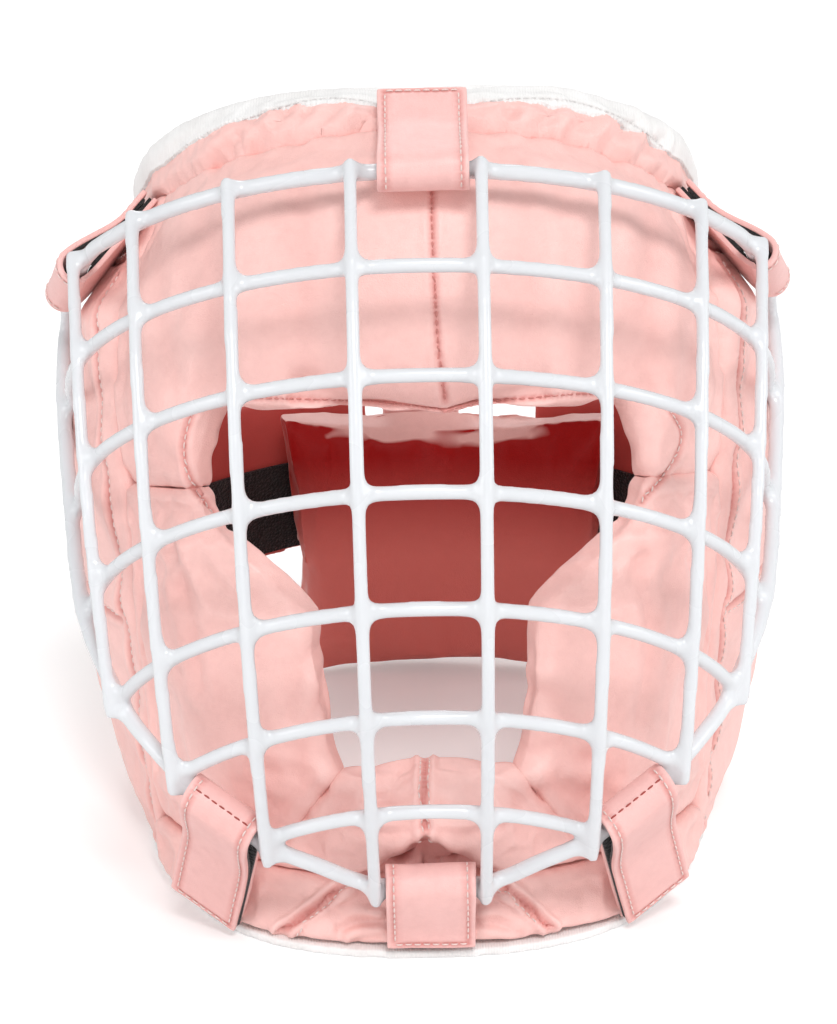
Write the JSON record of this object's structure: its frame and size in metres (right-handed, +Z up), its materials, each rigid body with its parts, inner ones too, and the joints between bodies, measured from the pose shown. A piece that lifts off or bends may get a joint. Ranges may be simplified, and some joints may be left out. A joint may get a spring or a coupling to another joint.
{
  "type": "boxing headgear with face cage",
  "caption": "Padded leather boxing headgear standing on its neck rim, with a coated wire bar cage held over the open face by folded hook-and-loop straps.",
  "frame": {"origin": "on the floor, at the middle of the bounding box", "axes": "+Z up, the face opening and the cage towards -Y, left is -X as seen from the front"},
  "size_m": [0.2654, 0.2964, 0.2807],
  "materials": {
    "leather": "smooth synthetic leather, satin",
    "coated_wire": "thick glossy dip coating",
    "hook_tape": "hook and loop pile, matte",
    "foam": "closed foam core, matte",
    "binding": "woven edge binding, matte"
  },
  "bodies": {
    "headgear": {"cage_rim_wire": "coated_wire", "cage_upright_1": "coated_wire", "cage_upright_2": "coated_wire", "cage_upright_3": "coated_wire", "cage_upright_4": "coated_wire", "cage_upright_5": "coated_wire", "cage_upright_6": "coated_wire", "cage_upright_7": "coated_wire", "cage_upright_8": "coated_wire", "cage_cross_wire_2": "coated_wire", "cage_cross_wire_3": "coated_wire", "cage_cross_wire_4": "coated_wire", "cage_cross_wire_5": "coated_wire", "cage_cross_wire_6": "coated_wire", "cage_cross_wire_7": "coated_wire", "forehead_cover": "leather", "forehead_foam": "foam", "cheek_cover_left": "leather", "cheek_cover_right": "leather", "cheek_foam_left": "foam", "cheek_foam_right": "foam", "chin_cover": "leather", "chin_foam": "foam", "lower_chin_panel_left": "leather", "lower_chin_panel_right": "leather", "side_cover_left": "leather", "side_cover_right": "leather", "side_foam_left": "foam", "side_foam_right": "foam", "rear_cover": "leather", "rear_foam": "foam", "crown_band_left": "leather", "crown_band_right": "leather", "crown_binding": "binding", "neck_binding": "binding", "crown_strap": "leather", "top_strap_loop": "leather", "chin_strap_loop": "leather", "jaw_strap_loop_left": "leather", "jaw_strap_loop_right": "leather", "temple_strap_loop_left": "leather", "temple_strap_loop_right": "leather", "strap_loop_tapes": "hook_tape"},
    "top_flap": {"top_strap_flap": "leather", "top_hook_tape": "hook_tape"},
    "chin_flap": {"chin_strap_flap": "leather", "chin_hook_tape": "hook_tape"},
    "jaw_flap_left": {"jaw_strap_flap_left": "leather", "jaw_hook_tape_left": "hook_tape"},
    "temple_flap_left": {"temple_strap_flap_left": "leather", "temple_hook_tape_left": "hook_tape"},
    "rear_closure_left": {"rear_strap_left": "leather", "rear_hook_tape_left": "hook_tape"},
    "jaw_flap_right": {"jaw_strap_flap_right": "leather", "jaw_hook_tape_right": "hook_tape"},
    "temple_flap_right": {"temple_strap_flap_right": "leather", "temple_hook_tape_right": "hook_tape"},
    "rear_closure_right": {"rear_strap_right": "leather", "rear_hook_tape_right": "hook_tape"}
  },
  "joints": [
    {"name": "top_flap_hinge", "type": "hinge", "parent": "headgear", "child": "top_flap", "pos_m": [0.00251, -0.06526, 0.26777], "axis": [1, 0, 0], "range_deg": [0, 100]},
    {"name": "chin_flap_hinge", "type": "hinge", "parent": "headgear", "child": "chin_flap", "pos_m": [0, -0.12792, 0.0295], "axis": [-1, 0, 0], "range_deg": [0, 100]},
    {"name": "jaw_flap_hinge_left", "type": "hinge", "parent": "headgear", "child": "jaw_flap_left", "pos_m": [-0.0716, -0.12611, 0.05547], "axis": [-0.8012, 0.3118, 0.5108], "range_deg": [0, 100]},
    {"name": "temple_flap_hinge_left", "type": "hinge", "parent": "headgear", "child": "temple_flap_left", "pos_m": [-0.12616, 0.01419, 0.20794], "axis": [0.2414, -0.7699, 0.5908], "range_deg": [0, 100]},
    {"name": "rear_closure_hinge_left", "type": "hinge", "parent": "headgear", "child": "rear_closure_left", "pos_m": [-0.11924, 0.0538, 0.07938], "axis": [-0.0945, 0.0995, 0.9905], "range_deg": [0, 90]},
    {"name": "jaw_flap_hinge_right", "type": "hinge", "parent": "headgear", "child": "jaw_flap_right", "pos_m": [0.0716, -0.12611, 0.05547], "axis": [-0.8012, -0.3118, -0.5108], "range_deg": [0, 100]},
    {"name": "temple_flap_hinge_right", "type": "hinge", "parent": "headgear", "child": "temple_flap_right", "pos_m": [0.12616, 0.01419, 0.20794], "axis": [0.2414, 0.7699, -0.5908], "range_deg": [0, 100]},
    {"name": "rear_closure_hinge_right", "type": "hinge", "parent": "headgear", "child": "rear_closure_right", "pos_m": [0.11924, 0.0538, 0.07938], "axis": [-0.0945, -0.0995, -0.9905], "range_deg": [0, 90]}
  ]
}
